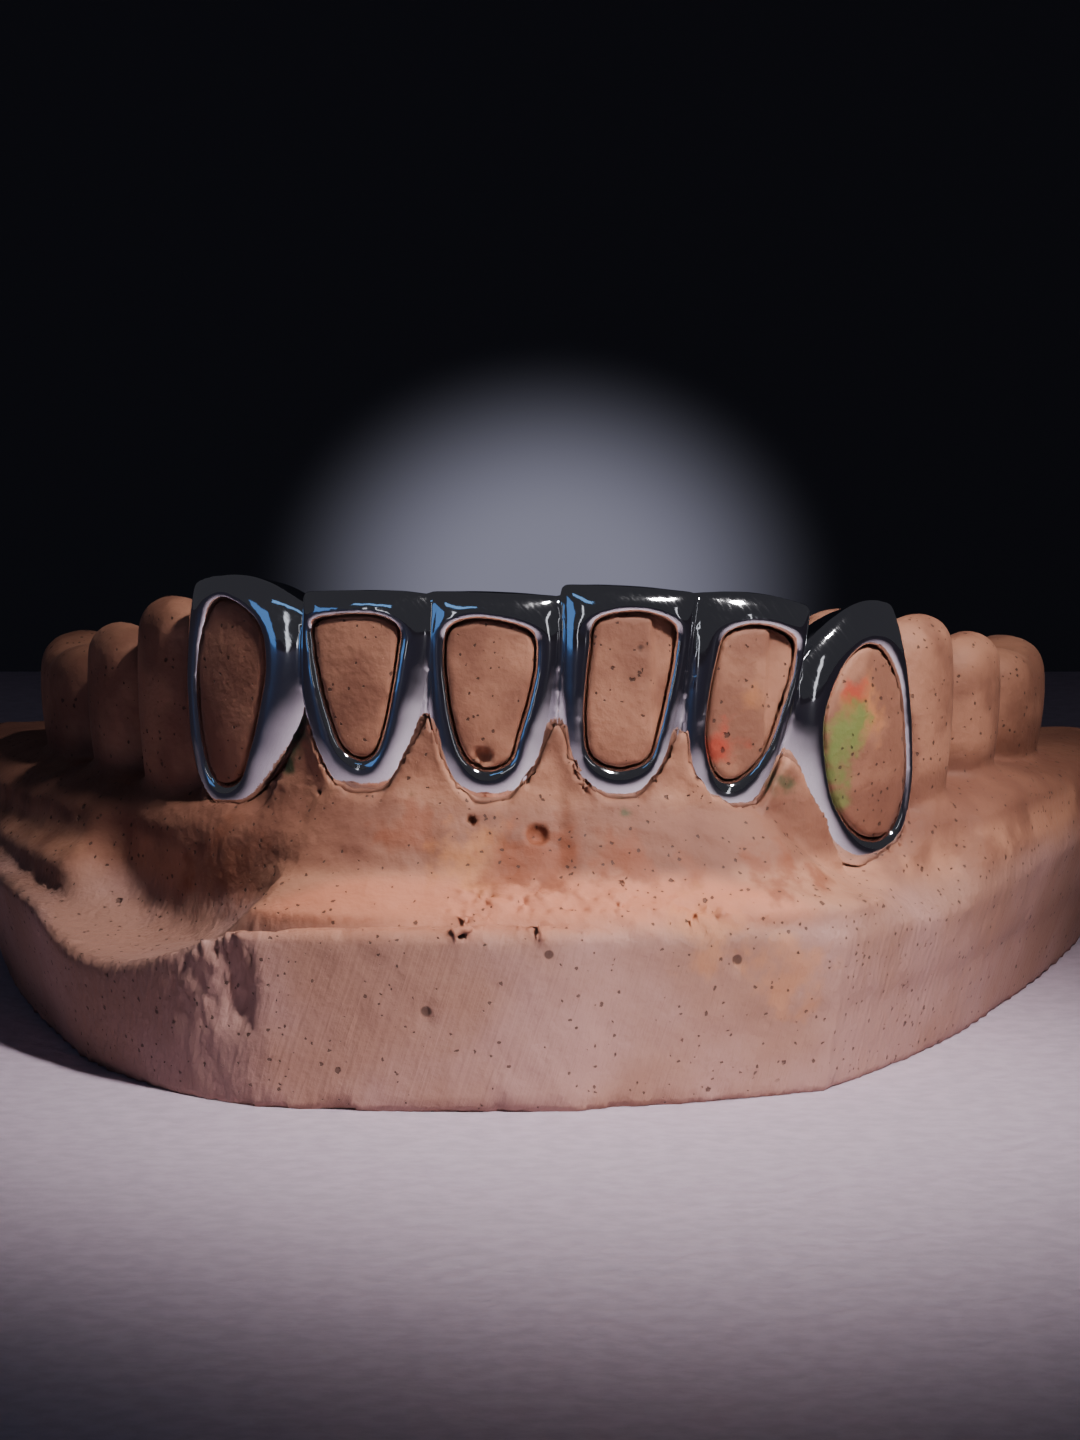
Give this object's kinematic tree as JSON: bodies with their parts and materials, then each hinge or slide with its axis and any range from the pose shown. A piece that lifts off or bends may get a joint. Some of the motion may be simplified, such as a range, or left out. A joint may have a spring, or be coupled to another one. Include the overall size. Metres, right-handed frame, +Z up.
{
  "type": "grillz on a dental cast",
  "caption": "Open-face metal caps for the lower front teeth, soldered into one bar and seated on a trimmed plaster cast of a lower jaw.",
  "frame": {"origin": "middle of the cast's flat underside, on the surface that it stands on", "axes": "+Z up, the caps' windows face -Y, the mouth opens towards +Y, and +X runs to the viewer's right"},
  "size_m": [0.0624, 0.043, 0.0233],
  "materials": {
    "polished_silver": "mirror polished white metal with fine scratches",
    "plaster": "matt pink-beige dental plaster with small bubbles and stains"
  },
  "bodies": {
    "root": {"grillz": "polished_silver", "dental_cast": "plaster"}
  },
  "joints": []
}
